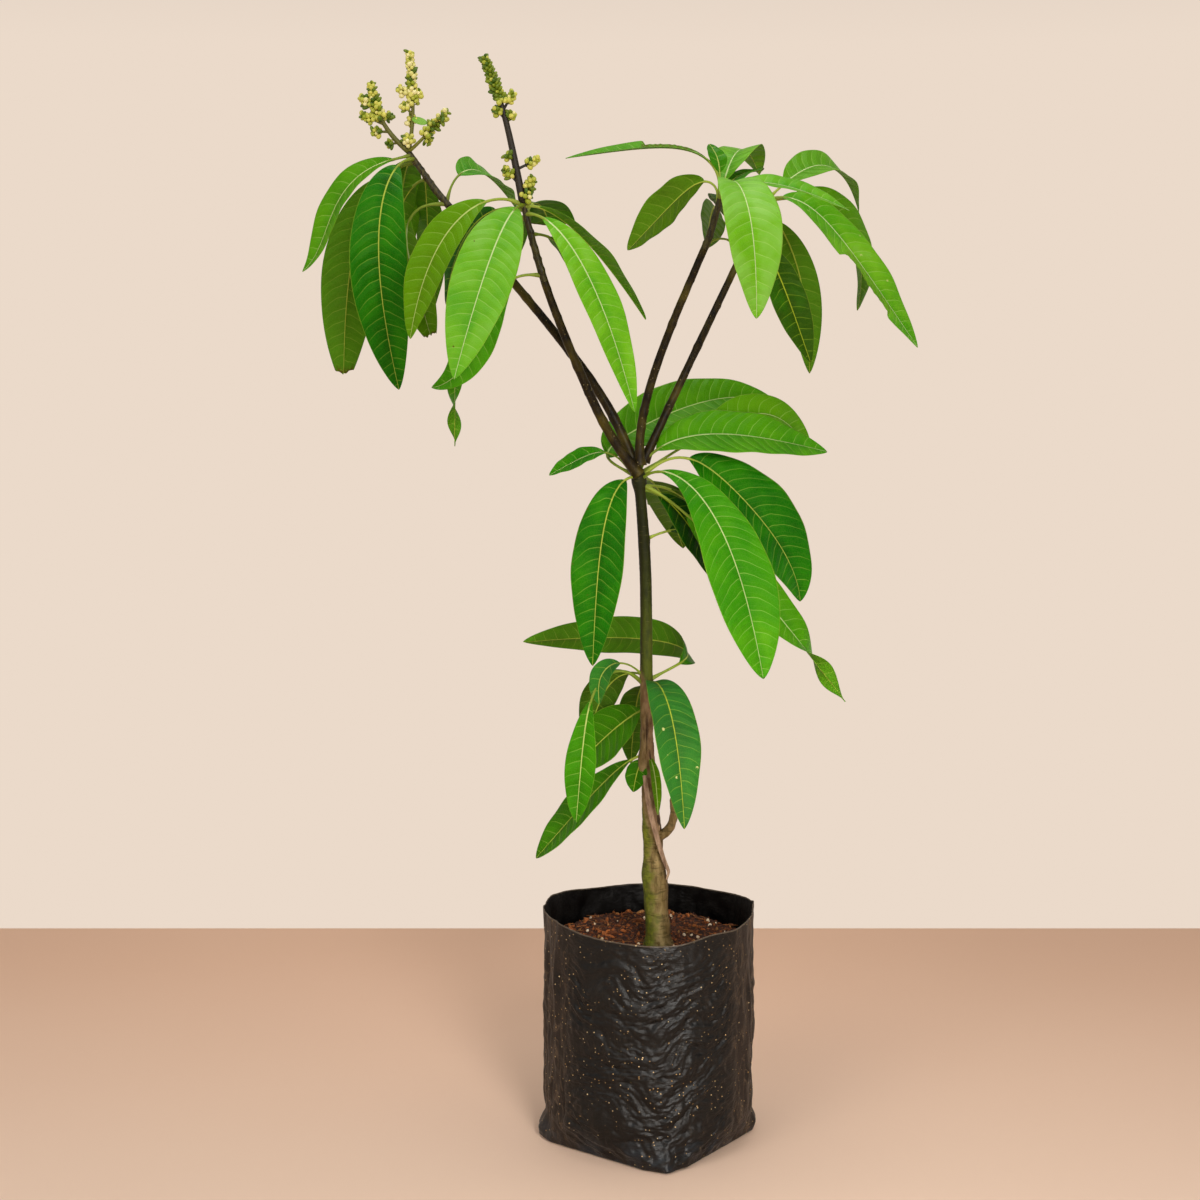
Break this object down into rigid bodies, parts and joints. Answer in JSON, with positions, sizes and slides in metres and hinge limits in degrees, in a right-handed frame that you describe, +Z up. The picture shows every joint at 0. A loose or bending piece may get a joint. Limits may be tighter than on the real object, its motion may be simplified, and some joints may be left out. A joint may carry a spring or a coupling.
{
  "type": "young mango tree in a grow bag",
  "caption": "Young mango tree with drooping whorls of long leaves and flower stalks, forked low, in a round-topped black plastic grow bag with a square foot.",
  "frame": {"origin": "centre of the bag's flat underside, on the ground", "axes": "+Z up along the plant, +X to the right and +Y away from the side with the front shoots"},
  "size_m": [0.6586, 0.3833, 1.1681],
  "materials": {
    "bag": "semi-gloss black film",
    "potting_mix": "rough, moist, red-brown",
    "bark": "rough grey-brown bark",
    "bough": "smooth dark olive bark",
    "leaf": "satin green leaf",
    "flower": "matt yellow-green buds"
  },
  "bodies": {
    "root": {"grow_bag": "bag", "potting_mix": "potting_mix", "trunk": "bark", "bough_left_outer": "bough", "bough_left_inner": "bough", "bough_right_inner": "bough", "bough_right_outer": "bough", "crown_left_outer": "leaf", "crown_left_inner": "leaf", "crown_right_inner": "leaf", "crown_right_outer": "leaf", "whorl_fork": "leaf", "leaf_below_fork": "leaf", "whorl_lower": "leaf", "whorl_graft": "leaf", "flowers_left_outer": "flower", "flowers_left_inner": "flower"}
  },
  "joints": []
}
